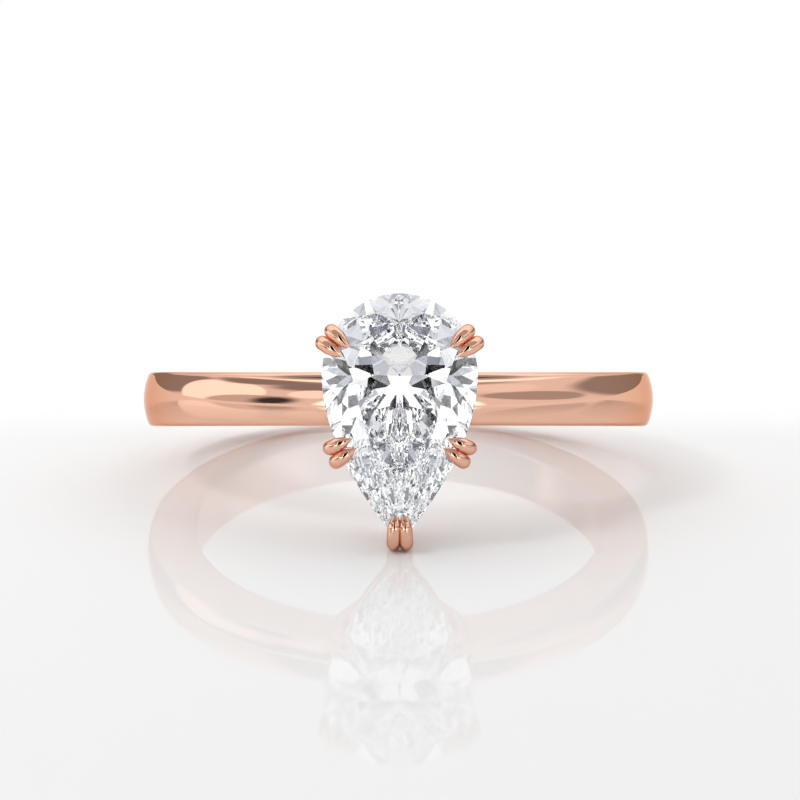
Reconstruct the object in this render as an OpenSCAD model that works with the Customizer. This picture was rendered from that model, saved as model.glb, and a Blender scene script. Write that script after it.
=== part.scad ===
// Pear-cut solitaire engagement ring with paired claws.
// The finger bore is centred on the origin and runs along Z. The stone faces -Y with its point down.
// All sizes are in millimetres.

/* [Shank] */
// Inside diameter of the ring
bore_d = 16.5; // [16:0.1:17.5]
// Thickness of the shank from bore to crown
wall = 1.95; // [1.7:0.05:2.1]
// Width of the shank at the back and sides
shank_w = 2.21; // [1.9:0.01:2.5]
// Slope of each side face towards the head, in degrees
taper = 1.03; // [0:0.01:1.2]
// Height of the rounded crown of the outside face
crown_rise = 0.16; // [0.05:0.01:0.3]
// Radius of the outer edges
edge_r = 0.22; // [0.1:0.01:0.3]
// Radius of the comfort edge inside
comfort_r = 0.14; // [0.05:0.01:0.2]

/* [Stone] */
// Width of the stone across its belly
stone_w = 5.39; // [5.2:0.01:5.5]
// Height of the round end above the widest level
round_h = 2.85; // [2.7:0.01:2.95]
// Length of the pointed end below the widest level
point_h = 5.77; // [5.6:0.01:5.9]
// Fullness of the two wings beside the point
belly = 1.83; // [1.75:0.01:1.9]
// Height of the widest level above the middle of the shank
wide_z = 0.8; // [0.7:0.01:0.9]
// Distance of the girdle plane from the axis of the bore
girdle_r = 11.37; // [11.3:0.01:11.5]
// Thickness of the girdle
girdle_t = 0.12; // [0.08:0.01:0.16]
// Height of the crown, from girdle to table
crown_h = 0.72; // [0.65:0.01:0.8]
// Depth of the pavilion, from girdle to culet
pavilion_h = 2.35; // [2.2:0.01:2.4]

/* [Rails] */
// Size of the base rail's outline against the stone's
base_scale = 0.66; // [0.64:0.01:0.68]
// Gap from the bore to the base rail
finger_gap = 0.08; // [0.05:0.01:0.15]
// Height of the base rail
base_rail_h = 0.66; // [0.6:0.02:0.7]
// Thickness of the base rail, side to side
base_rail_t = 0.52; // [0.45:0.01:0.55]
// Height of the seat rail
seat_rail_h = 0.54; // [0.48:0.02:0.56]
// Thickness of the seat rail, side to side
seat_rail_t = 0.5; // [0.45:0.01:0.52]
// Drop from the girdle plane to the middle of the seat rail
seat_drop = 0.69; // [0.66:0.01:0.74]
// How far the seat rail shows outside the stone
seat_show = 0.02; // [0:0.01:0.04]

/* [Claws] */
// Diameter of the side claws' wire
claw_d = 0.51; // [0.48:0.01:0.53]
// Diameter of the point claws' wire
tip_claw_d = 0.485; // [0.44:0.005:0.5]
// Distance of a lower claw's centre line outside the girdle
lower_out = 0.27; // [0.2:0.01:0.3]
// Distance outside the girdle of the upper claws nearer the round end
upper_a_out = 0.08; // [0.06:0.01:0.12]
// Distance outside the girdle of the upper claws nearer the middle
upper_b_out = 0.19; // [0.15:0.01:0.23]
// Distance of a point claw's centre line outside the girdle
tip_claw_out = 0.26; // [0.24:0.01:0.28]
// Reach of a lower claw over the crown, from the girdle to its tip
lower_reach = 0.57; // [0.5:0.01:0.65]
// Reach over the crown of the upper claws nearer the round end
upper_a_reach = 0.82; // [0.7:0.01:0.88]
// Reach over the crown of the upper claws nearer the middle
upper_b_reach = 0.72; // [0.6:0.01:0.8]
// Reach of a point claw over the crown
tip_claw_reach = 0.86; // [0.7:0.01:0.9]
// Length over which a claw narrows to its tip
claw_taper = 0.58; // [0.5:0.01:0.62]
// Direction of the upper pairs, in degrees above level
upper_angle = 38.3; // [36:0.1:40]
// Direction of the lower pairs, in degrees below level
lower_angle = 29; // [27:0.1:31]

/* [Hidden] */
rose_gold = [0.86, 0.58, 0.46];
ice = [0.9, 0.93, 0.96];
bore_r = bore_d / 2;
outer_r = bore_r + wall;

// Heights on the middle line of the head that the rails and the claws are centred on
rail_aim = -0.25;
upper_aim = 0.15;
lower_aim = -0.65;
tip_aim = -1.9;

// ---------- Outline of the stone, in the plane X-Z ----------

// Half the stone's width at height z
function half_width(z) = z > wide_z
    ? stone_w / 2 * sqrt(max(0, 1 - pow((z - wide_z) / round_h, 2)))
    : stone_w / 2 * (1 - pow((wide_z - z) / point_h, belly));

function inside(x, z) =
    z < wide_z + round_h && z > wide_z - point_h && abs(x) < half_width(z);

// Distance from (0, from_z) to the outline in direction a, for the outline scaled by k about rail_aim
function reach(from_z, a, k = 1, low = 0, high = 8, steps = 28) =
    let (middle = (low + high) / 2)
    let (z = rail_aim + (from_z + middle * sin(a) - rail_aim) / k)
    steps == 0 ? middle
    : inside(middle * cos(a) / k, z) ? reach(from_z, a, k, middle, high, steps - 1)
    : reach(from_z, a, k, low, middle, steps - 1);

// ---------- Skinned solids ----------

// Side faces between rings of m points, then closed into a loop or capped at both ends
function wrap_faces(n, m, closed) = [
    for (i = [0 : closed ? n - 1 : n - 2], j = [0 : m - 1])
        let (a = i * m + j, b = i * m + (j + 1) % m)
        let (c = ((i + 1) % n) * m + (j + 1) % m, d = ((i + 1) % n) * m + j)
        each [[a, c, b], [a, d, c]]
];

module skin(rings, closed) {
    n = len(rings);
    m = len(rings[0]);
    caps = closed ? [] : [[for (j = [0 : m - 1]) j], [for (j = [m - 1 : -1 : 0]) (n - 1) * m + j]];
    polyhedron(points = [for (ring = rings) each ring], faces = concat(wrap_faces(n, m, closed), caps));
}

// ---------- Shank ----------

inner_cut = 0.3;
// Where the comfort edge bows most, as shares of its radius in from the bore and down from the side
comfort_bow = [0.35, 0.45];
// Clearance that the solder between the shank's ends and the base rail fills
solder_gap = 0.005;
// Larger than the ring: the size of the blocks that halve it
reach_all = 2 * outer_r;
// Keeps the tapered front a hair inside the back, so that the two join on a clean face
join_step = 0.004;

// Right half of the section, from the bore outwards: radius and height, drawn in by shrink.
// It starts inside the bore, which is then cut as a true cylinder.
function half_section(shrink) =
    let (side = outer_r - crown_rise - edge_r - shrink, flat = shank_w / 2 - shrink)
    let (bow = comfort_r * comfort_bow)
    concat(
        [[bore_r - inner_cut, 0], [bore_r - inner_cut, flat - comfort_r - inner_cut]],
        [[bore_r + bow[0], flat - bow[1]], [bore_r + comfort_r, flat]],
        [for (a = [0 : 18 : 72]) [side + edge_r * sin(a), flat - edge_r * (1 - cos(a))]],
        [for (t = [1 : -0.125 : 0]) [outer_r - shrink - crown_rise * t * t, (flat - edge_r) * t]]
    );

module half_hoop(shrink) {
    rotate_extrude($fn = 180)
    polygon(concat(
        half_section(shrink),
        [[outer_r - shrink, -shank_w / 2], [bore_r - inner_cut, -shank_w / 2]]
    ));
}

// Upper quarter of the front, whose side face slopes down towards the head
module front_quarter() {
    intersection() {
        rotate([taper, 0, 0])
        half_hoop(join_step);
        translate([-reach_all / 2, -reach_all / 2, 0])
        cube([reach_all, reach_all / 2, outer_r]);
    }
}

module back_quarter() {
    intersection() {
        half_hoop(0);
        translate([-reach_all / 2, 0, 0])
        cube([reach_all, reach_all / 2, outer_r]);
    }
}

module shank() {
    color(rose_gold)
    difference() {
        union() {
            front_quarter();
            back_quarter();
            mirror([0, 0, 1])
            front_quarter();
            mirror([0, 0, 1])
            back_quarter();
        }
        cylinder(h = 2 * shank_w, r = bore_r, center = true, $fn = 180);
        base_rail_core();
    }
}

// ---------- Rails ----------

rail_steps = 60;
rail_sides = 10;

// The base rail's underside follows the finger, a little clear of the bore.
base_depth = function (x) sqrt(pow(bore_r + finger_gap, 2) - x * x) + base_rail_h / 2;
seat_depth = function (x) girdle_r - seat_drop;
// Scale of the outline, distance outside it, thickness, height, and depth from the bore's axis
base_rail_form = [base_scale, 0, base_rail_t, base_rail_h, base_depth];
seat_rail_form = [1, seat_show, seat_rail_t, seat_rail_h, seat_depth];

// Section of a rail in direction number i around rail_aim
function rail_ring(form, i) =
    let (a = i * 360 / rail_steps, flat = cos(180 / rail_sides), depth = form[4])
    let (middle = reach(rail_aim, a, form[0]) + form[1] - form[2] / 2)
    [for (j = [0 : rail_sides - 1])
        let (b = 360 * (j + 0.5) / rail_sides)
        let (d = middle + form[2] / 2 * cos(b) / flat, x = d * cos(a))
        [x, -depth(x) - form[3] / 2 * sin(b) / flat, rail_aim + d * sin(a)]];

module rail(form) {
    color(rose_gold)
    skin([for (i = [rail_steps : -1 : 1]) rail_ring(form, i)], true);
}

// The stretch of a rail that passes a claw standing at plan point p
module rail_stretch(form, p) {
    i = round(atan2(p[1] - rail_aim, p[0]) * rail_steps / 360);
    skin([for (k = [4 : -1 : -4]) rail_ring(form, i + k)], false);
}

module base_rail() { rail(base_rail_form); }
module seat_rail() { rail(seat_rail_form); }

// What the base rail fills with its inside: the shank's ends are cut to it.
module base_rail_core() {
    rotate([90, 0, 0])
    linear_extrude(height = outer_r + 1)
    polygon([
        for (i = [0 : rail_steps - 1])
            let (a = i * 360 / rail_steps)
            let (r = reach(rail_aim, a, base_scale) + solder_gap)
            [r * cos(a), rail_aim + r * sin(a)]
    ]);
}

// ---------- Diamond ----------

// Points of the stone are [x, z, h]: h is the height above the girdle plane, away from the finger.
function placed(p) = [p[0], -(girdle_r + p[2]), p[1]];

// Girdle directions from the culet, from the round end clockwise: mains, and the mids between them
half_dirs = [90, 67.5, 45, 22.5, 0, -29, -54, -75, -90];
dirs = concat(half_dirs, [for (i = [7 : -1 : 1]) -180 - half_dirs[i]]);
// Directions of the table's corners, and their distances as shares of the girdle's
half_table_dirs = [90, 42, 0, -54, -90];
half_table_shares = [0.635, 0.625, 0.612, 0.61, 0.67];
table_dirs = concat(half_table_dirs, [for (i = [3 : -1 : 1]) -180 - half_table_dirs[i]]);
table_shares = concat(half_table_shares, [for (i = [3 : -1 : 1]) half_table_shares[i]]);
// How far down the crown the stars end, and how near the culet the lower halves begin
star_drop = 0.32;
lower_half_start = 0.22;
scallop_steps = 5;

function rim(a) = let (r = reach(wide_z, a)) [r * cos(a), wide_z + r * sin(a)];
function tangent(a) = let (p = rim(a + 1), q = rim(a - 1)) (p - q) / norm(p - q);
function cross2(u, v) = u[0] * v[1] - u[1] * v[0];

// Where the line through p along u meets the line through q along v
function meet(p, u, q, v) = p + u * cross2(q - p, v) / cross2(u, v);

// Height at plan point p of the plane through three points
function plane_height(p, a, b, c) =
    let (n = cross(b - a, c - a))
    a[2] - ((p[0] - a[0]) * n[0] + (p[1] - a[1]) * n[1]) / n[2];

culet = [0, wide_z];
function table_corner(i) =
    let (a = table_dirs[i % 8])
    culet + table_shares[i % 8] * reach(wide_z, a) * [cos(a), sin(a)];

// A facet line of main i at a share f of the way from its inner corner to the girdle
function level_point(inner, i, f) = inner + f * (rim(dirs[(2 * i) % 16]) - inner);
function facet_meet(p, q, i, f) = meet(
    level_point(p, i, f), tangent(dirs[(2 * i) % 16]),
    level_point(q, i + 1, f), tangent(dirs[(2 * i + 2) % 16])
);

table_h = girdle_t / 2 + crown_h;
star_h = table_h - star_drop * crown_h;
culet_h = -girdle_t / 2 - pavilion_h;
keel_h = culet_h + lower_half_start * pavilion_h;
table_points = [for (i = [0 : 7]) concat(table_corner(i), [table_h])];
star_points = [
    for (i = [0 : 7])
        concat(facet_meet(table_corner(i), table_corner(i + 1), i, star_drop), [star_h])
];
keel_points = [for (i = [0 : 7]) concat(facet_meet(culet, culet, i, lower_half_start), [keel_h])];

// The girdle's edge, scalloped where each half facet runs out to it; side is 1 above and -1 below
function edge_points(side, inner) = [
    for (i = [0 : 15], k = [0 : scallop_steps - 1])
        let (a = dirs[i], b = i == 15 ? dirs[0] - 360 : dirs[i + 1], h = side * girdle_t / 2)
        let (p = rim(a + (b - a) * k / scallop_steps))
        let (from = concat(rim(a), [h]), to = concat(rim(b), [h]))
        concat(p, [k == 0 ? h : plane_height(p, inner[floor(i / 2)], from, to)])
];

module stone_body() {
    points = concat(
        table_points, star_points, edge_points(1, star_points),
        edge_points(-1, keel_points), keel_points, [concat(culet, [culet_h])]
    );
    hull()
    polyhedron(
        points = [for (p = points) placed(p)],
        faces = [for (i = [0 : len(points) - 3]) [i, i + 1, i + 2]]
    );
}

module diamond() {
    color(ice)
    stone_body();
}

// How far the crown runs in from the girdle, as a share of the stone's half width
crown_run = 0.38;

// Height of the crown at a plan point, taken as straight from girdle to table
function crown_height(p) =
    let (d = norm(p - culet), a = atan2(p[1] - wide_z, p[0]))
    girdle_t / 2 + crown_h * (1 - d / reach(wide_z, a)) / crown_run;

// ---------- Claws ----------

claw_sides = 14;
root_steps = 9;
hook_steps = 15;
// The claw's leg: where it leans to and where it turns upright, as shares of its spread and foot's depth
lean_out = 0.42;
lean_up = 0.62;
upright_up = 0.3;
// The hook over the stone: how high it rises, its highest point, and how far in from the leg that point is
hook_rise = 0.27;
hook_top = 0.37;
hook_in = 0.3;
// How blunt the tip is, and its least radius
tip_bluntness = 1.6;
tip_r = 0.03;
// Shares of the wire's radius: how much thicker a claw is at its foot, and how far its foot runs in
foot_swell = 0.08;
foot_in = 0.4;

function bezier(p, t) =
    pow(1 - t, 3) * p[0] + 3 * pow(1 - t, 2) * t * p[1] + 3 * (1 - t) * t * t * p[2] + pow(t, 3) * p[3];
function bezier_slope(p, t) =
    pow(1 - t, 2) * (p[1] - p[0]) + 2 * (1 - t) * t * (p[2] - p[1]) + t * t * (p[3] - p[2]);

// Where a curve is at t, and where it heads
function station(p, t) = concat(bezier(p, t), bezier_slope(p, t));

// Height of a claw's foot at plan point p: on the curve of the finger, level with the base rail's underside
function foot_height(p) = sqrt(pow(bore_r + finger_gap, 2) - p[0] * p[0]) - girdle_r;

// One claw of a pair, notched for the stone and the two rails.
// Its centre line lies in an upright plane that runs out from (0, aim). Along that plane,
// d is the distance from the aim and h the height above the girdle plane.
// hand is the side of the pair's groove that it stands on, over its reach across the crown.
module claw(aim, groove, hand, wire_d, out, over) {
    r = wire_d / 2;
    a = groove + hand * asin(r / (reach(aim, groove) + out));
    dir = [cos(a), sin(a)];
    across = [-sin(a), cos(a)];
    parting = [-sin(groove), cos(groove)] * hand;
    rim_d = reach(aim, a);
    top_d = rim_d + out;
    foot_d = reach(aim, a, base_scale) + foot_in * r;
    foot_h = foot_height([0, aim] + foot_d * dir);
    tip_d = rim_d - over;
    tip_h = crown_height([0, aim] + tip_d * dir);
    lean_d = foot_d + lean_out * (top_d - foot_d);
    root = [[foot_d, foot_h], [lean_d, lean_up * foot_h], [top_d, upright_up * foot_h], [top_d, 0]];
    hook = [[top_d, 0], [top_d, hook_rise], [top_d - hook_in, hook_top], [tip_d, tip_h]];
    stations = concat(
        [for (i = [0 : root_steps - 1]) station(root, i / root_steps)],
        [for (i = [0 : hook_steps]) station(hook, i / hook_steps)]
    );
    rings = [
        for (i = [0 : len(stations) - 1])
            let (s = stations[i])
            let (along = [s[2], s[3]] / norm([s[2], s[3]]))
            let (left = max(0, 1 - max(0, s[0] - tip_d) / claw_taper))
            let (leg = r * (1 - foot_swell * s[1] / foot_h))
            let (girth = s[1] < 0 ? leg : max(tip_r, r * (1 - pow(left, tip_bluntness))))
            [for (j = [0 : claw_sides - 1])
                let (b = 360 * j / claw_sides)
                let (d = s[0] + girth * cos(b) * along[1], h = s[1] - girth * cos(b) * along[0])
                let (p = [0, aim] + d * dir + girth * sin(b) * across)
                let (flush = p - min(0, (p - [0, aim]) * parting) * parting)
                placed(concat(flush, [i == 0 ? foot_height(flush) : h]))]
    ];
    color(rose_gold)
    difference() {
        skin(rings, false);
        stone_body();
        rail_stretch(seat_rail_form, [0, aim] + top_d * dir);
        rail_stretch(base_rail_form, [0, aim] + foot_d * dir);
    }
}

module upper_claw_a(groove, hand) { claw(upper_aim, groove, hand, claw_d, upper_a_out, upper_a_reach); }
module upper_claw_b(groove, hand) { claw(upper_aim, groove, hand, claw_d, upper_b_out, upper_b_reach); }
module lower_claw(groove, hand) { claw(lower_aim, groove, hand, claw_d, lower_out, lower_reach); }

module tip_claw(hand) {
    claw(tip_aim, -90, hand, tip_claw_d, tip_claw_out, tip_claw_reach);
}

module upper_left_claw_a() { upper_claw_a(180 - upper_angle, -1); }
module upper_left_claw_b() { upper_claw_b(180 - upper_angle, 1); }
module upper_right_claw_a() { upper_claw_a(upper_angle, 1); }
module upper_right_claw_b() { upper_claw_b(upper_angle, -1); }
module lower_left_claw_a() { lower_claw(180 + lower_angle, -1); }
module lower_left_claw_b() { lower_claw(180 + lower_angle, 1); }
module lower_right_claw_a() { lower_claw(-lower_angle, 1); }
module lower_right_claw_b() { lower_claw(-lower_angle, -1); }
module tip_claw_left() { tip_claw(-1); }
module tip_claw_right() { tip_claw(1); }

shank();
base_rail();
seat_rail();
diamond();
upper_left_claw_a();
upper_left_claw_b();
upper_right_claw_a();
upper_right_claw_b();
lower_left_claw_a();
lower_left_claw_b();
lower_right_claw_a();
lower_right_claw_b();
tip_claw_left();
tip_claw_right();
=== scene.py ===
"""Pear-cut solitaire engagement ring with paired claws, polished rose gold.

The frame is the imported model's: the finger bore runs along Z and the stone faces -Y, point down.
Every metal piece is a fine, smooth skin over its CAD node, made from the same sizes in millimetres.
"""

from math import asin, atan2, cos, hypot, pi, radians, sin, sqrt, tan

import bmesh
import bpy
import numpy as np
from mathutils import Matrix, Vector


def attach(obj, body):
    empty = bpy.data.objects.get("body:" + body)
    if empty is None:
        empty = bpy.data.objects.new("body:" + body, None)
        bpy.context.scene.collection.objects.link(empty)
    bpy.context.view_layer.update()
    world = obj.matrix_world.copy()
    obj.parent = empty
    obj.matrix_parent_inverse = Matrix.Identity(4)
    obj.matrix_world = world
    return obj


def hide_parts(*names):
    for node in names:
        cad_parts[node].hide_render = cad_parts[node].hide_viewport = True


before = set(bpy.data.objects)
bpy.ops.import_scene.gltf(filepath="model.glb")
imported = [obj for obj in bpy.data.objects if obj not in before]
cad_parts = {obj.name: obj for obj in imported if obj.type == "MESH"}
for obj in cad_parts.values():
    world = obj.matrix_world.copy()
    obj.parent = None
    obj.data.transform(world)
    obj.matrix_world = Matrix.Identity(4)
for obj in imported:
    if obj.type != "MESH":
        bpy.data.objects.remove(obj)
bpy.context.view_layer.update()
MM = 0.001

# ---------------------------------------------------------------- sizes, in millimetres

BORE_R = 16.5 / 2
WALL = 1.95
OUTER_R = BORE_R + WALL
SHANK_W = 2.21
TAPER = radians(1.03)
CROWN_RISE = 0.16
EDGE_R = 0.22
COMFORT_R = 0.14

STONE_W = 5.39
ROUND_H = 2.85
POINT_H = 5.77
BELLY = 1.83
WIDE_Z = 0.8
GIRDLE_R = 11.37
GIRDLE_T = 0.12
CROWN_H = 0.72
PAVILION_H = 2.35

BASE_SCALE = 0.66
FINGER_GAP = 0.08
BASE_RAIL_H = 0.66
BASE_RAIL_T = 0.52
SEAT_RAIL_H = 0.54
SEAT_RAIL_T = 0.5
SEAT_DROP = 0.69
SEAT_SHOW = 0.02

CLAW_D = 0.51
TIP_CLAW_D = 0.485
UPPER_A_OUT = 0.08
UPPER_B_OUT = 0.19
LOWER_OUT = 0.27
TIP_CLAW_OUT = 0.26
UPPER_A_REACH = 0.82
UPPER_B_REACH = 0.72
LOWER_REACH = 0.57
TIP_CLAW_REACH = 0.86
CLAW_TAPER = 0.58
UPPER_ANGLE = 38.3
LOWER_ANGLE = 29

RAIL_AIM = -0.25
UPPER_AIM = 0.15
LOWER_AIM = -0.65
TIP_AIM = -1.9


# ---------------------------------------------------------------- outline of the stone


def half_width(z):
    """Half the stone's width at height z."""
    if z > WIDE_Z:
        return STONE_W / 2 * sqrt(max(0, 1 - ((z - WIDE_Z) / ROUND_H) ** 2))
    return STONE_W / 2 * (1 - ((WIDE_Z - z) / POINT_H) ** BELLY)


def inside(x, z):
    return WIDE_Z - POINT_H < z < WIDE_Z + ROUND_H and abs(x) < half_width(z)


def reach(from_z, a, k=1):
    """Distance from (0, from_z) to the outline in direction a, when k scales it about RAIL_AIM."""
    low, high = 0, 8
    for _ in range(34):
        middle = (low + high) / 2
        z = RAIL_AIM + (from_z + middle * sin(a) - RAIL_AIM) / k
        if inside(middle * cos(a) / k, z):
            low = middle
        else:
            high = middle
    return low


# ---------------------------------------------------------------- materials


def node(tree, kind, **values):
    """A new node. Values name its inputs, or its own settings where it has no such input."""
    made = tree.nodes.new(kind)
    for name, value in values.items():
        label = name.replace("_", " ").title()
        if label in made.inputs:
            made.inputs[label].default_value = value
        else:
            setattr(made, name, value)
    return made


def math_node(tree, operation, *values):
    made = tree.nodes.new("ShaderNodeMath")
    made.operation = operation
    for slot, value in zip(made.inputs, values):
        if isinstance(value, (int, float)):
            slot.default_value = value
        else:
            tree.links.new(value, slot)
    return made.outputs[0]


def new_material(name):
    material = bpy.data.materials.new(name)
    material.use_nodes = True
    tree = material.node_tree
    shader = tree.nodes["Principled BSDF"]
    return material, tree, shader


def ramp(tree, factor, stops):
    made = tree.nodes.new("ShaderNodeValToRGB")
    steps = made.color_ramp.elements
    while len(steps) < len(stops):
        steps.new(0.5)
    for step, (place, value) in zip(steps, stops):
        step.position = place
        step.color = (*value, 1) if isinstance(value, tuple) else (value, value, value, 1)
    tree.links.new(factor, made.inputs["Fac"])
    return made.outputs["Color"]


def mask_between(tree, value, start, end):
    """0 at the start and before it, 1 at the end and past it, eased between them."""
    span = node(tree, "ShaderNodeMapRange")
    span.interpolation_type = "SMOOTHSTEP"
    for label, limit in zip(("From Min", "From Max", "To Min", "To Max"), (start, end, 0.0, 1.0)):
        span.inputs[label].default_value = limit
    tree.links.new(value, span.inputs["Value"])
    return span.outputs["Result"]


# The metal's own colour, and its tint at grazing angles.
ROSE = (0.83, 0.49, 0.358)
EDGE_TINT = (0.85, 0.6, 0.48)


def gold(name, base, low_rough, high_rough, brush):
    """Polished rose gold: a faint cloud in its colour, a softer polish in patches, and fine wheel marks."""
    material, tree, shader = new_material(name)
    shader.inputs["Metallic"].default_value = 1.0
    shader.inputs["Specular Tint"].default_value = (*EDGE_TINT, 1)
    place = node(tree, "ShaderNodeTexCoord").outputs["Object"]
    cloud = node(tree, "ShaderNodeTexNoise", scale=260.0, detail=3.0)
    tree.links.new(place, cloud.inputs["Vector"])
    shade = tuple(c * 0.975 for c in base)
    light = tuple(min(1, c * 1.015) for c in base)
    tree.links.new(
        ramp(tree, cloud.outputs["Fac"], [(0.3, shade), (0.7, light)]),
        shader.inputs["Base Color"],
    )
    polish = node(tree, "ShaderNodeTexNoise", scale=900.0, detail=4.0)
    tree.links.new(place, polish.inputs["Vector"])
    tree.links.new(
        ramp(tree, polish.outputs["Fac"], [(0.35, low_rough), (0.72, high_rough)]),
        shader.inputs["Roughness"],
    )
    stretch = node(tree, "ShaderNodeMapping")
    stretch.inputs["Scale"].default_value = (1.0, 1.0, 9.0)
    tree.links.new(place, stretch.inputs["Vector"])
    marks = node(tree, "ShaderNodeTexNoise", scale=2200.0, detail=2.0)
    tree.links.new(stretch.outputs["Vector"], marks.inputs["Vector"])
    bump = node(tree, "ShaderNodeBump", strength=brush, distance=0.00001)
    tree.links.new(marks.outputs["Fac"], bump.inputs["Height"])
    tree.links.new(bump.outputs["Normal"], shader.inputs["Normal"])
    return material


shank_gold = gold("rose_gold_shank", ROSE, 0.0, 0.03, 0.02)
head_gold = gold("rose_gold_head", ROSE, 0.03, 0.08, 0.05)
claw_gold = gold("rose_gold_claws", ROSE, 0.0, 0.02, 0.01)


def diamond_material():
    """Clear stone: high index, with the faintest drift of tint through it."""
    material, tree, shader = new_material("diamond")
    shader.inputs["Transmission Weight"].default_value = 1.0
    shader.inputs["IOR"].default_value = 2.42
    shader.inputs["Roughness"].default_value = 0.0
    place = node(tree, "ShaderNodeTexCoord").outputs["Object"]
    drift = node(tree, "ShaderNodeTexNoise", scale=400.0, detail=2.0)
    tree.links.new(place, drift.inputs["Vector"])
    tree.links.new(
        ramp(tree, drift.outputs["Fac"], [(0.3, (0.925, 0.935, 0.95)), (0.7, (0.95, 0.955, 0.96))]),
        shader.inputs["Base Color"],
    )
    return material


ice = diamond_material()


# ---------------------------------------------------------------- mesh helpers


def add_piece(name, points, faces, material, replaces):
    """A mesh from points in millimetres, which rides the ring and stands for its CAD node."""
    mesh = bpy.data.meshes.new(name)
    mesh.from_pydata([tuple(float(c) * MM for c in p) for p in points], [], faces)
    mesh.validate()
    piece = bpy.data.objects.new(name, mesh)
    bpy.context.scene.collection.objects.link(piece)
    mesh.materials.append(material)
    mesh.shade_smooth()
    # The stone is bright all through, as polished stones are shown: it doesn't pick up the metal behind it.
    piece.visible_transmission = False
    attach(piece, "root")
    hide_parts(replaces)
    return piece


def wrap_faces(n, m, closed):
    """Faces between n rings of m points, closed into a loop or capped at both ends."""
    faces = []
    for i in range(n if closed else n - 1):
        k = (i + 1) % n
        for j in range(m):
            faces.append((i * m + j, i * m + (j + 1) % m, k * m + (j + 1) % m, k * m + j))
    if not closed:
        faces.append(tuple(range(m - 1, -1, -1)))
        faces.append(tuple((n - 1) * m + j for j in range(m)))
    return faces


def outward(piece):
    """Turns every face of a closed mesh outwards."""
    shape = bmesh.new()
    shape.from_mesh(piece.data)
    bmesh.ops.recalc_face_normals(shape, faces=shape.faces)
    shape.to_mesh(piece.data)
    shape.free()


# ---------------------------------------------------------------- shank


def shank_section(half):
    """Upper half of the section as (radius, height), from the bore's middle out to the crown's."""
    points = [(BORE_R, (half - COMFORT_R) * t) for t in (0, 0.5, 0.9, 0.98)]
    for k in range(9):
        a = pi / 2 * k / 8
        points.append((BORE_R + COMFORT_R * (1 - cos(a)), half - COMFORT_R * (1 - sin(a))))
    flat_from, crown_r = BORE_R + COMFORT_R, crown_radius()
    edge = fillet_centre(crown_r, half)
    points += [(flat_from + (edge - flat_from) * t, half) for t in (0.02, 0.25, 0.5, 0.75, 0.98)]
    edge_turn = atan2(edge - (OUTER_R - crown_r), half - EDGE_R)
    for k in range(13):
        a = edge_turn * k / 12
        points.append((edge + EDGE_R * sin(a), half - EDGE_R * (1 - cos(a))))
    start = crown_r * cos(edge_turn)
    for t in (0.985, 0.93, 0.86, 0.78, 0.69, 0.6, 0.5, 0.4, 0.3, 0.2, 0.1, 0):
        z = start * t
        points.append((OUTER_R - crown_r + sqrt(crown_r**2 - z**2), z))
    return points


def crown_radius():
    """Radius across the shank's crowned outside."""
    half = SHANK_W / 2 - EDGE_R
    return (half**2 + CROWN_RISE**2) / (2 * CROWN_RISE)


def fillet_centre(crown_r, half):
    """Radius at which the edge's arc is centred, so that it runs smoothly into the crown."""
    return OUTER_R - crown_r + sqrt((crown_r - EDGE_R) ** 2 - (half - EDGE_R) ** 2)


SHANK_STEPS = 300
HEAD_GAP = 0.005
SLOPE_EASE = 0.06
SLOPE_ROUNDS = 4


def rail_end(z):
    """Distance from the middle plane at which the shank stops, clear of the base rail."""
    return BASE_SCALE * half_width(RAIL_AIM + (z - RAIL_AIM) / BASE_SCALE) + HEAD_GAP


def make_shank():
    """The hoop, sloping to the head on both sides, whose ends follow the base rail's outline."""
    rings = []
    count = len(shank_section(SHANK_W / 2))
    for i in range(SHANK_STEPS + 1):
        t = 2 * i / SHANK_STEPS - 1
        ring = []
        for side in (1, -1):
            half_points = []
            for j in range(count):
                # The slope depends on the point's own depth, so it settles in a few rounds.
                angle = pi * t
                for _ in range(SLOPE_ROUNDS):
                    near = max(0, cos_blend(angle))
                    half = SHANK_W / 2 - (BORE_R + WALL / 2) * near * tan(TAPER)
                    r, z = shank_section(half)[j]
                    start = asin(rail_end(side * z) / r)
                    angle = (1 if t >= 0 else -1) * (start + (pi - start) * (1 - abs(t)))
                half_points.append((r * sin(angle), -r * cos(angle), side * z))
            ring += half_points if side == 1 else half_points[-2:0:-1]
        rings.append(ring)
    return rings


def cos_blend(angle):
    """The share of the way to the head, eased where the slope begins at the sides."""
    c = cos(angle)
    if c > SLOPE_EASE:
        return c
    if c < -SLOPE_EASE:
        return 0
    return (c + SLOPE_EASE) ** 2 / (4 * SLOPE_EASE)


shank_rings = make_shank()
shank = add_piece(
    "shank_polished",
    [p for ring in shank_rings for p in ring],
    wrap_faces(len(shank_rings), len(shank_rings[0]), False),
    shank_gold,
    "shank",
)
outward(shank)
shank.data.set_sharp_from_angle(angle=radians(40))


# ---------------------------------------------------------------- rails


def base_depth(x):
    """How far in front of the bore's middle the base rail lies: it is bent to the finger's curve."""
    return sqrt((BORE_R + FINGER_GAP) ** 2 - x * x) + BASE_RAIL_H / 2


def seat_depth(x):
    """The seat rail is flat, at one distance all round."""
    return GIRDLE_R - SEAT_DROP


def rail_rings(scale, out, thick, high, depth, steps=240, sides=24):
    """Oval sections along the stone's outline, scaled about RAIL_AIM."""
    rings = []
    for i in range(steps):
        a = 2 * pi * i / steps
        middle = reach(RAIL_AIM, a, scale) + out - thick / 2
        ring = []
        for j in range(sides):
            b = 2 * pi * j / sides
            d = middle + thick / 2 * cos(b)
            x = d * cos(a)
            ring.append((x, -depth(x) - high / 2 * sin(b), RAIL_AIM + d * sin(a)))
        rings.append(ring)
    return rings


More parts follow.
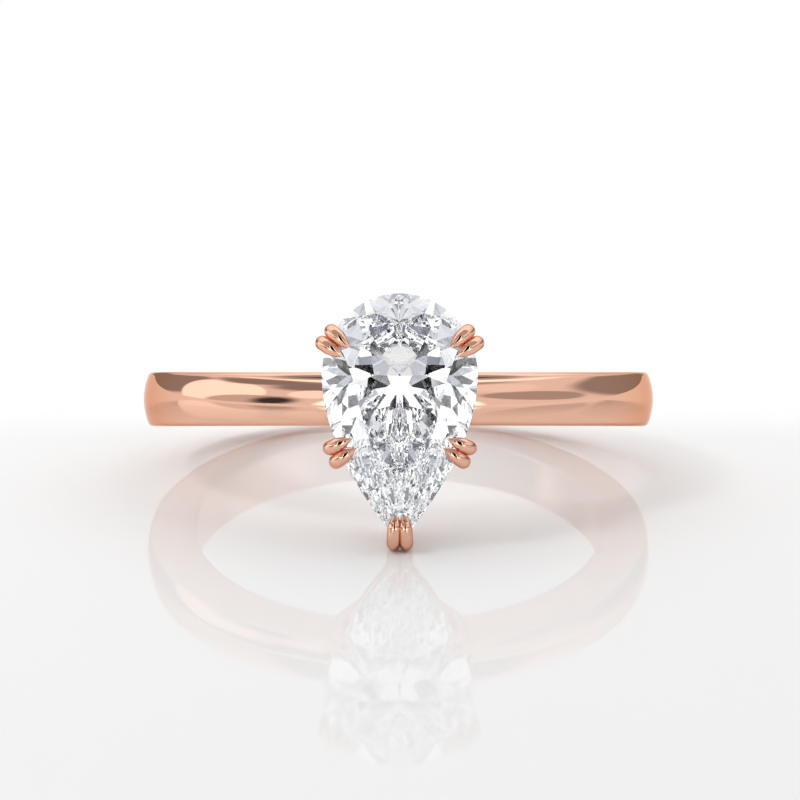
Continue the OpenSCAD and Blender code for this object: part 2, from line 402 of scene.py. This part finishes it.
def make_rail(name, node_name, *form):
    """One rail, of the form that rail_rings takes."""
    rings = rail_rings(*form)
    rail = add_piece(
        name,
        [p for ring in rings for p in ring],
        wrap_faces(len(rings), len(rings[0]), True),
        head_gold,
        node_name,
    )
    outward(rail)


make_rail("base_rail_polished", "base_rail", BASE_SCALE, 0, BASE_RAIL_T, BASE_RAIL_H, base_depth)
make_rail("seat_rail_polished", "seat_rail", 1, SEAT_SHOW, SEAT_RAIL_T, SEAT_RAIL_H, seat_depth)

# ---------------------------------------------------------------- diamond

# Directions from the culet to the girdle's corners and to the table's, right half from the top, and how
# far out the table's corners lie.
HALF_DIRS = [90, 67.5, 45, 22.5, 0, -29, -54, -75, -90]
DIRS = [radians(a) for a in HALF_DIRS + [-180 - a for a in HALF_DIRS[7:0:-1]]]
HALF_TABLE_DIRS = [90, 42, 0, -54, -90]
HALF_TABLE_SHARES = [0.635, 0.625, 0.612, 0.61, 0.67]
TABLE_DIRS = [radians(a) for a in HALF_TABLE_DIRS + [-180 - a for a in HALF_TABLE_DIRS[3:0:-1]]]
TABLE_SHARES = HALF_TABLE_SHARES + HALF_TABLE_SHARES[3:0:-1]
# Share of the crown's height that the star facets take.
STAR_DROP = 0.32
SCALLOP_STEPS = 10
CULET = np.array([0, WIDE_Z])


def placed(p):
    """A stone point, given as x, z and height above the girdle plane, in the ring's frame."""
    return (p[0], -(GIRDLE_R + p[2]), p[1])


def rim(a):
    """Plan point of the girdle in direction a from the culet."""
    r = reach(WIDE_Z, a)
    return CULET + r * np.array([cos(a), sin(a)])


def tangent(a):
    """The way the girdle runs at rim(a)."""
    step = radians(1)
    run = rim(a + step) - rim(a - step)
    return run / np.linalg.norm(run)


def cross2(u, v):
    return u[0] * v[1] - u[1] * v[0]


def meet(p, u, q, v):
    """Where the line through p along u crosses the line through q along v."""
    return p + u * cross2(q - p, v) / cross2(u, v)


def plane_height(p, a, b, c):
    """Height at plan point p of the plane through a, b and c."""
    n = np.cross(b - a, c - a)
    return a[2] - ((p[0] - a[0]) * n[0] + (p[1] - a[1]) * n[1]) / n[2]


def table_corner(i):
    a = TABLE_DIRS[i % 8]
    return CULET + TABLE_SHARES[i % 8] * reach(WIDE_Z, a) * np.array([cos(a), sin(a)])


def facet_meet(p, q, i, f):
    """Where the level lines of neighbouring mains meet, a share f of the way out to the girdle."""
    a, b = DIRS[(2 * i) % 16], DIRS[(2 * i + 2) % 16]
    return meet(p + f * (rim(a) - p), tangent(a), q + f * (rim(b) - q), tangent(b))


def girdle_edge(side, inner):
    """The girdle's edge, scalloped where each half facet runs out to it."""
    points = []
    high = side * GIRDLE_T / 2
    for i in range(16):
        a, b = DIRS[i], DIRS[0] - 2 * pi if i == 15 else DIRS[i + 1]
        start, end = np.append(rim(a), high), np.append(rim(b), high)
        for k in range(SCALLOP_STEPS):
            p = rim(a + (b - a) * k / SCALLOP_STEPS)
            h = high if k == 0 else plane_height(p, inner[i // 2], start, end)
            points.append(np.append(p, h))
    return points


def support(a):
    """How far the outline reaches in direction a, measured from the culet."""
    way = np.array([cos(a), sin(a)])
    return max(float(way @ (rim(b) - CULET)) for b in SUPPORT_ANGLES)


# Pavilion facets on the right side, by the direction each faces. The mains run to the culet, at a share
# of the steepest slope that leaves the girdle whole.
MAINS = [(67.5, 1.0), (22.5, 0.985), (-17, 1.0), (-33, 1.0)]
# The rest run in from the girdle, steeper than a main there by so many degrees.
BREAKS = [
    ([90, 45], 0.9),
    ([78.75, 56.25, 33.75, 11.25], 1.8),
    ([0], 1.2),
    ([-8, -25, -38], 1.6),
    ([-4, -12, -20, -28, -35, -40], 3.6),
    ([-2, -6, -10, -15, -19, -23, -27, -30, -33, -36, -39], 6.5),
]
SUPPORT_ANGLES = [radians(a / 2) for a in range(-360, 360)]
# Edges between facets that turn by less than this many degrees are merged, before and after the cuts.
CROWN_MERGE = 0.35
FACET_MERGE = 0.05


def pavilion_planes():
    """Each facet's plane as a point and an outward normal, in x, z, height."""
    culet_h = -GIRDLE_T / 2 - PAVILION_H
    planes = []
    for angle, share in MAINS:
        for a in (radians(angle), radians(180 - angle)):
            slope = atan2(PAVILION_H, support(a)) * share
            way = np.array([cos(a), sin(a)])
            planes.append((np.append(CULET, culet_h), np.append(way * sin(slope), -cos(slope))))
    for facing, steeper in BREAKS:
        for angle in facing:
            for a in sorted({radians(angle), radians(180 - angle)}):
                far = support(a)
                slope = atan2(PAVILION_H, far) + radians(steeper)
                way = np.array([cos(a), sin(a)])
                planes.append(
                    (np.append(CULET + far * way, -GIRDLE_T / 2), np.append(way * sin(slope), -cos(slope)))
                )
    return planes


def stone_points():
    """Corners of the crown and the girdle, and of the uncut block below them."""
    table_h = GIRDLE_T / 2 + CROWN_H
    culet_h = -GIRDLE_T / 2 - PAVILION_H
    table = [np.append(table_corner(i), table_h) for i in range(8)]
    stars = [
        np.append(
            facet_meet(table_corner(i), table_corner(i + 1), i, STAR_DROP),
            table_h - STAR_DROP * CROWN_H,
        )
        for i in range(8)
    ]
    edge = girdle_edge(1, stars)
    return table + stars + edge + [np.append(p[:2], culet_h) for p in edge]


def cut_facets(shape, planes):
    """Cuts a closed convex mesh back to a set of planes, one facet each."""
    for point, normal in planes:
        cut = bmesh.ops.bisect_plane(
            shape,
            geom=shape.verts[:] + shape.edges[:] + shape.faces[:],
            dist=1e-6,
            plane_co=placed(point),
            plane_no=(normal[0], -normal[2], normal[1]),
            clear_outer=True,
        )
        rim_edges = [e for e in cut["geom_cut"] if isinstance(e, bmesh.types.BMEdge) and e.is_boundary]
        if rim_edges:
            bmesh.ops.contextual_create(shape, geom=rim_edges)


def cut_stone(name, grow=0.0):
    """The stone: a block with the crown cut, then the pavilion. It can be grown a little to cut others."""
    shape = bmesh.new()
    for p in stone_points():
        shape.verts.new(placed(p))
    bmesh.ops.convex_hull(shape, input=shape.verts)
    loose = [v for v in shape.verts if not v.link_faces]
    bmesh.ops.delete(shape, geom=loose, context="VERTS")
    bmesh.ops.dissolve_limit(shape, angle_limit=radians(CROWN_MERGE), verts=shape.verts, edges=shape.edges)
    cut_facets(shape, pavilion_planes())
    bmesh.ops.dissolve_limit(shape, angle_limit=radians(FACET_MERGE), verts=shape.verts, edges=shape.edges)
    bmesh.ops.recalc_face_normals(shape, faces=shape.faces)
    if grow:
        for v in shape.verts:
            v.co += v.normal * grow
    bmesh.ops.scale(shape, vec=(MM, MM, MM), verts=shape.verts)
    mesh = bpy.data.meshes.new(name)
    shape.to_mesh(mesh)
    shape.free()
    made = bpy.data.objects.new(name, mesh)
    bpy.context.scene.collection.objects.link(made)
    return made


stone = cut_stone("diamond_faceted")
stone.data.materials.append(ice)
stone.data.shade_flat()
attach(stone, "root")
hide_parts("diamond")

# ---------------------------------------------------------------- claws

# Share of the way in from the girdle to the stone's axis over which the crown rises.
CROWN_RUN = 0.38
# The claw's leg: where it leans to and where it turns upright, as shares of its spread and foot's depth.
LEAN_OUT = 0.42
LEAN_UP = 0.62
UPRIGHT_UP = 0.3
# The hook over the stone: how high it rises, its highest point, and how far in from the leg that point is.
HOOK_RISE = 0.27
HOOK_TOP = 0.37
HOOK_IN = 0.3
# How blunt the tip is, and its least radius.
TIP_BLUNTNESS = 1.6
TIP_R = 0.02
# Shares of the wire's radius: how much thicker a claw is at its foot, and how far its foot runs in.
FOOT_SWELL = 0.08
FOOT_IN = 0.4
# The gap between a claw and the stone that its notch is cut for.
STONE_GAP = 0.004


def crown_height(x, z):
    """Height of the crown at a plan point, taken as straight from girdle to table."""
    d, a = hypot(x, z - WIDE_Z), atan2(z - WIDE_Z, x)
    return GIRDLE_T / 2 + CROWN_H * (1 - d / reach(WIDE_Z, a)) / CROWN_RUN


def foot_height(x):
    """Height of a claw's foot: on the curve of the finger, level with the base rail's underside."""
    return sqrt((BORE_R + FINGER_GAP) ** 2 - x * x) - GIRDLE_R


def bezier(p, t):
    s = 1 - t
    return s**3 * p[0] + 3 * s * s * t * p[1] + 3 * s * t * t * p[2] + t**3 * p[3]


def bezier_slope(p, t):
    s = 1 - t
    run = s * s * (p[1] - p[0]) + 2 * s * t * (p[2] - p[1]) + t * t * (p[3] - p[2])
    return run / np.linalg.norm(run)


def claw_rings(aim, groove, hand, wire_d, out, over, root_steps=26, hook_steps=54, sides=36):
    """Sections along one claw of a pair, in an upright plane that runs out from (0, aim).

    hand is the side of the pair's groove that it stands on, out its reach past the stone's edge and over
    its reach across the crown. The side towards its twin is cut flat.
    """
    r = wire_d / 2
    a = radians(groove) + hand * asin(r / (reach(aim, radians(groove)) + out))
    way, across = np.array([cos(a), sin(a)]), np.array([-sin(a), cos(a)])
    parting = np.array([-sin(radians(groove)), cos(radians(groove))]) * hand
    start = np.array([0, aim])
    rim_d = reach(aim, a)
    top_d = rim_d + out
    foot_d = reach(aim, a, BASE_SCALE) + FOOT_IN * r
    foot_h = foot_height((foot_d * way)[0])
    tip_d = rim_d - over
    tip_h = crown_height(*(start + tip_d * way))
    lean_d = foot_d + LEAN_OUT * (top_d - foot_d)
    lean, upright = [lean_d, LEAN_UP * foot_h], [top_d, UPRIGHT_UP * foot_h]
    root = np.array([[foot_d, foot_h], lean, upright, [top_d, 0]])
    hook = np.array([[top_d, 0], [top_d, HOOK_RISE], [top_d - HOOK_IN, HOOK_TOP], [tip_d, tip_h]])
    stations = [(root, i / root_steps) for i in range(root_steps)]
    stations += [(hook, i / hook_steps) for i in range(hook_steps + 1)]
    rings = []
    for curve, t in stations:
        d0, h0 = bezier(curve, t)
        along = bezier_slope(curve, t)
        left = max(0, 1 - max(0, d0 - tip_d) / CLAW_TAPER)
        leg = r * (1 - FOOT_SWELL * h0 / foot_h)
        girth = leg if h0 < 0 else max(TIP_R, r * (1 - left**TIP_BLUNTNESS))
        ring = []
        for j in range(sides):
            b = 2 * pi * j / sides
            d = d0 + girth * cos(b) * along[1]
            h = h0 - girth * cos(b) * along[0]
            p = start + d * way + girth * sin(b) * across
            p = p - min(0, float((p - start) @ parting)) * parting
            ring.append(placed((p[0], p[1], foot_height(p[0]) if not rings else h)))
        rings.append(ring)
    return rings


stone_cutter = cut_stone("stone_cutter", grow=STONE_GAP)


def make_claw(name, *form):
    """One claw, notched for the stone. Its sections overlap inside the hook, and the cut allows it."""
    rings = claw_rings(*form)
    claw = add_piece(
        name + "_polished",
        [p for ring in rings for p in ring],
        wrap_faces(len(rings), len(rings[0]), False),
        claw_gold,
        name,
    )
    outward(claw)
    notch = claw.modifiers.new("notch", "BOOLEAN")
    notch.operation = "DIFFERENCE"
    notch.solver = "EXACT"
    notch.use_self = True
    notch.object = stone_cutter
    solid = bpy.data.meshes.new_from_object(claw.evaluated_get(bpy.context.evaluated_depsgraph_get()))
    claw.modifiers.clear()
    claw.data = solid
    solid.shade_smooth()
    solid.set_sharp_from_angle(angle=radians(38))


# Reaches past the edge and across the crown of the a and the b claw of a pair.
UPPER_FORMS = ((UPPER_A_OUT, UPPER_A_REACH), (UPPER_B_OUT, UPPER_B_REACH))
LOWER_FORMS = ((LOWER_OUT, LOWER_REACH), (LOWER_OUT, LOWER_REACH))
# Each pair's aim, the direction of its groove, and the side of it that claw a stands on.
PAIRS = [
    ("upper_left", UPPER_AIM, 180 - UPPER_ANGLE, -1, UPPER_FORMS),
    ("upper_right", UPPER_AIM, UPPER_ANGLE, 1, UPPER_FORMS),
    ("lower_left", LOWER_AIM, 180 + LOWER_ANGLE, -1, LOWER_FORMS),
    ("lower_right", LOWER_AIM, -LOWER_ANGLE, 1, LOWER_FORMS),
]
for place, aim, groove, first, forms in PAIRS:
    for letter, hand, (out, over) in zip("ab", (first, -first), forms):
        make_claw(f"{place}_claw_{letter}", aim, groove, hand, CLAW_D, out, over)
for place, hand in (("left", -1), ("right", 1)):
    make_claw(f"tip_claw_{place}", TIP_AIM, -90, hand, TIP_CLAW_D, TIP_CLAW_OUT, TIP_CLAW_REACH)
bpy.data.objects.remove(stone_cutter)

# ---------------------------------------------------------------- floor, sloping under the ring at rest

# A point of the floor under the stone, as depth and height, and how steeply the floor rises from there.
FLOOR_FRONT = (-10.98, -5.21)
FLOOR_SLOPE = 0.1997
FLOOR_HALF = 600.0
# Painted shade on the board, darker towards the front, between two depths round the ring's centre, and its
# tones;
# the depths behind the ring's centre where it fades into the white behind; and how far round the ring it
# stays glossy.
FLOOR_PAINTED_SHADE = (-34.0, 10.0)
FLOOR_PAINTED_SHADE_TONES = [(0, 0.89), (0.5, 0.93), (1, 0.97)]
FLOOR_GLOSS = 1.22
FLOOR_FADE = (6.0, 13.0)
FLOOR_ROUND = (38.0, 110.0)


def floor_z(y):
    """Height of the floor at depth y."""
    return FLOOR_FRONT[1] + (y - FLOOR_FRONT[0]) * FLOOR_SLOPE


def floor_material():
    """White glossy board that fades to plain white behind the ring and well away from it."""
    material, tree, shader = new_material("white_board")
    place = node(tree, "ShaderNodeTexCoord").outputs["Object"]
    split = node(tree, "ShaderNodeSeparateXYZ")
    tree.links.new(place, split.inputs["Vector"])
    across, depth = (math_node(tree, "MULTIPLY", split.outputs[k], 1 / MM) for k in "XY")
    # Painted shade: the board's colour is darker towards the front and lighter behind the ring.
    shade = mask_between(tree, depth, *FLOOR_PAINTED_SHADE)
    tree.links.new(ramp(tree, shade, FLOOR_PAINTED_SHADE_TONES), shader.inputs["Base Color"])
    shader.inputs["Roughness"].default_value = 0.03
    shader.inputs["IOR"].default_value = FLOOR_GLOSS
    behind = mask_between(tree, depth, *FLOOR_FADE)
    squares = (math_node(tree, "MULTIPLY", d, d) for d in (across, depth))
    away = math_node(tree, "SQRT", math_node(tree, "ADD", *squares))
    white = node(tree, "ShaderNodeEmission")
    white.inputs["Color"].default_value = (1, 1, 1, 1)
    fade = node(tree, "ShaderNodeMixShader")
    both = math_node(tree, "MAXIMUM", behind, mask_between(tree, away, *FLOOR_ROUND))
    tree.links.new(both, fade.inputs["Fac"])
    tree.links.new(shader.outputs["BSDF"], fade.inputs[1])
    tree.links.new(white.outputs["Emission"], fade.inputs[2])
    output = tree.nodes["Material Output"]
    tree.links.new(fade.outputs["Shader"], output.inputs["Surface"])
    return material


floor_corners = [(x * FLOOR_HALF, y * FLOOR_HALF) for x, y in ((-1, -1), (1, -1), (1, 1), (-1, 1))]
floor_mesh = bpy.data.meshes.new("floor")
floor_mesh.from_pydata([(x * MM, y * MM, floor_z(y) * MM) for x, y in floor_corners], [], [(0, 1, 2, 3)])
floor = bpy.data.objects.new("floor", floor_mesh)
bpy.context.scene.collection.objects.link(floor)
floor_mesh.materials.append(floor_material())
floor.visible_transmission = False

# ---------------------------------------------------------------- light

# Soft shapes of the studio round the ring: azimuth from the front, positive to the right, and elevation,
# in degrees; half widths; how soft the edge is; and brightness. The metal mirrors the first list.
STUDIO = [
    ("overhead", 0, 90, 400, 48, 0.2, 1.2),
    ("front grey", 0, 52, 68, 42, 0.12, 0.45),
    ("thin light", 0, 28, 84, 1.8, 0.5, 1.6),
    ("thin dark", 0, 34, 74, 1.8, 0.5, 0.08),
    ("left dark", -126, 16, 42, 10, 0.15, 0.31),
    ("left window", -86, 9, 26, 14, 0.05, 1.35),
    ("left shade", -72, 0, 22, 6, 0.15, 0.62),
    ("front left dark", -66, 24, 26, 4, 0.3, 0.28),
    ("front left low dark", -34, 18, 24, 6, 0.3, 0.28),
    ("left flag", -56, -2, 11, 5, 0.5, 0.05),
    ("left glow", -36, 7, 13, 6, 0.1, 1.2),
    ("right dark", 122, 14, 38, 11, 0.2, 0.32),
    ("right lens", 62, 5, 27, 6, 0.15, 0.43),
    ("right glow", 45, 17, 20, 6, 0.25, 0.95),
    ("front strip", 0, -10, 36, 14, 0.1, 2.6),
    ("front flag", 0, 16, 31, 26, 0.05, 0.004),
    ("left gap", -17, 14, 2.6, 24, 0.2, 2.8),
    ("right gap", 18, 14, 2.6, 24, 0.2, 2.8),
    ("camera side", 0, -3, 9, 9, 0.05, 0.005),
]
STUDIO_GAIN = 1.12
BASE_LIGHT = 0.85
# What is seen through the stone is brighter and plainer, and only its camera side is dark.
STONE_STUDIO = [("camera side", 0, 0, 20, 15, 0.05, 0.0)]
STONE_BASE = 1.6
# Clouds of shade over that, the same left and right, which give the facets their edge. They have
# LOW_TONES up to the first elevation of CLOUDS_END, and CLOUD_TONES from the second.
CLOUD_SCALE = 3.2
CLOUD_TONES = [(0.47, (0.02, 0.022, 0.025)), (0.5, (0.93, 0.96, 1.0)), (0.62, (1.0, 0.985, 0.97))]
LOW_TONES = [(0.42, (0.14, 0.155, 0.19)), (0.5, (0.46, 0.48, 0.52)), (0.6, (0.63, 0.62, 0.6))]
CLOUDS_END = (-12.0, 0.0)


def blob(tree, azimuth, elevation, shape):
    """1 inside a soft-edged ellipse of the sky, 0 outside."""
    _, az, el, wide, high, soft, _ = shape
    u = math_node(tree, "DIVIDE", math_node(tree, "SUBTRACT", azimuth, az), wide)
    v = math_node(tree, "DIVIDE", math_node(tree, "SUBTRACT", elevation, el), high)
    u2, v2 = math_node(tree, "MULTIPLY", u, u), math_node(tree, "MULTIPLY", v, v)
    far = math_node(tree, "SQRT", math_node(tree, "ADD", u2, v2))
    return mask_between(tree, far, 1 + soft, 1 - soft)


def studio_level(tree, azimuth, elevation, shapes, base):
    """Brightness of one studio in each direction."""
    level = base
    for shape in shapes:
        mask = blob(tree, azimuth, elevation, shape)
        mix = tree.nodes.new("ShaderNodeMix")
        mix.data_type = "FLOAT"
        tree.links.new(mask, mix.inputs["Factor"])
        if isinstance(level, float):
            mix.inputs["A"].default_value = level
        else:
            tree.links.new(level, mix.inputs["A"])
        mix.inputs["B"].default_value = shape[-1]
        level = mix.outputs["Result"]
    return level


def make_world():
    """One studio for the metal, one for light that leaves the stone, and plain white behind them."""
    world = bpy.data.worlds.new("studio")
    bpy.context.scene.world = world
    world.use_nodes = True
    tree = world.node_tree
    tree.nodes.clear()
    way = node(tree, "ShaderNodeTexCoord").outputs["Generated"]
    split = node(tree, "ShaderNodeSeparateXYZ")
    tree.links.new(way, split.inputs["Vector"])
    x, y, z = (split.outputs[k] for k in "XYZ")
    to_degrees = 180 / pi
    azimuth = math_node(
        tree, "MULTIPLY", math_node(tree, "ARCTAN2", x, math_node(tree, "MULTIPLY", y, -1)), to_degrees
    )
    elevation = math_node(tree, "MULTIPLY", math_node(tree, "ARCSINE", z), to_degrees)
    ray = node(tree, "ShaderNodeLightPath")
    shown = node(tree, "ShaderNodeBackground")
    tree.links.new(studio_level(tree, azimuth, elevation, STUDIO, BASE_LIGHT), shown.inputs["Color"])
    shown.inputs["Strength"].default_value = STUDIO_GAIN
    through = node(tree, "ShaderNodeBackground")
    mirrored = tree.nodes.new("ShaderNodeCombineXYZ")
    for axis, value in zip("XYZ", (math_node(tree, "ABSOLUTE", x), y, z)):
        tree.links.new(value, mirrored.inputs[axis])
    clouds = node(tree, "ShaderNodeTexNoise", scale=CLOUD_SCALE, detail=0.0)
    tree.links.new(mirrored.outputs["Vector"], clouds.inputs["Vector"])
    low = node(tree, "ShaderNodeMapRange")
    for label, value in zip(("From Min", "From Max", "To Min", "To Max"), (*CLOUDS_END, 1.0, 0.0)):
        low.inputs[label].default_value = value
    tree.links.new(elevation, low.inputs["Value"])
    tones = tree.nodes.new("ShaderNodeMixRGB")
    tree.links.new(low.outputs["Result"], tones.inputs["Fac"])
    tree.links.new(ramp(tree, clouds.outputs["Fac"], CLOUD_TONES), tones.inputs["Color1"])
    tree.links.new(ramp(tree, clouds.outputs["Fac"], LOW_TONES), tones.inputs["Color2"])
    tree.links.new(tones.outputs["Color"], through.inputs["Color"])
    tree.links.new(
        studio_level(tree, azimuth, elevation, STONE_STUDIO, STONE_BASE), through.inputs["Strength"]
    )
    plain = node(tree, "ShaderNodeBackground")
    plain.inputs["Color"].default_value = (1, 1, 1, 1)
    surface = shown.outputs["Background"]
    for kind, light in (("Is Transmission Ray", through), ("Is Camera Ray", plain)):
        choose = node(tree, "ShaderNodeMixShader")
        tree.links.new(ray.outputs[kind], choose.inputs["Fac"])
        tree.links.new(surface, choose.inputs[1])
        tree.links.new(light.outputs["Background"], choose.inputs[2])
        surface = choose.outputs["Shader"]
    output = node(tree, "ShaderNodeOutputWorld")
    tree.links.new(surface, output.inputs["Surface"])


make_world()


def area_light(name, where, target, size, power):
    """A square lamp, in millimetres and watts, which only lights: nothing mirrors it."""
    data = bpy.data.lights.new(name, "AREA")
    data.size = size * MM
    data.energy = power
    lamp = bpy.data.objects.new(name, data)
    bpy.context.scene.collection.objects.link(lamp)
    lamp.location = Vector(where) * MM
    aim = Vector(target) * MM - lamp.location
    lamp.rotation_euler = aim.to_track_quat("-Z", "Y").to_euler()
    lamp.visible_camera = lamp.visible_glossy = lamp.visible_transmission = False


area_light("key", (-110, -90, 130), (0, 0, 0), 36, 0.05)

# ---------------------------------------------------------------- camera

CAMERA_X = -0.33
CAMERA_Y = -78.7
LENS = 87.7
SENSOR = 36.0
# How far the lens is shifted, as shares of the picture's width.
SHIFT_X = 0.002
SHIFT_Y = -0.001125

camera_data = bpy.data.cameras.new("camera")
camera_data.lens = LENS
camera_data.sensor_width = SENSOR
camera_data.shift_x = SHIFT_X
camera_data.shift_y = SHIFT_Y
camera_data.clip_start = 0.001
camera_data.clip_end = 5.0
camera = bpy.data.objects.new("camera", camera_data)
bpy.context.scene.collection.objects.link(camera)
camera.location = (CAMERA_X * MM, CAMERA_Y * MM, 0)
camera.rotation_euler = (pi / 2, 0, -atan2(-CAMERA_X, -CAMERA_Y))
bpy.context.scene.camera = camera

view = bpy.context.scene.view_settings
view.view_transform = "Standard"
view.look = "None"
cycles = bpy.context.scene.cycles
cycles.max_bounces = 48
cycles.transmission_bounces = 40
cycles.glossy_bounces = 40
cycles.use_denoising = True
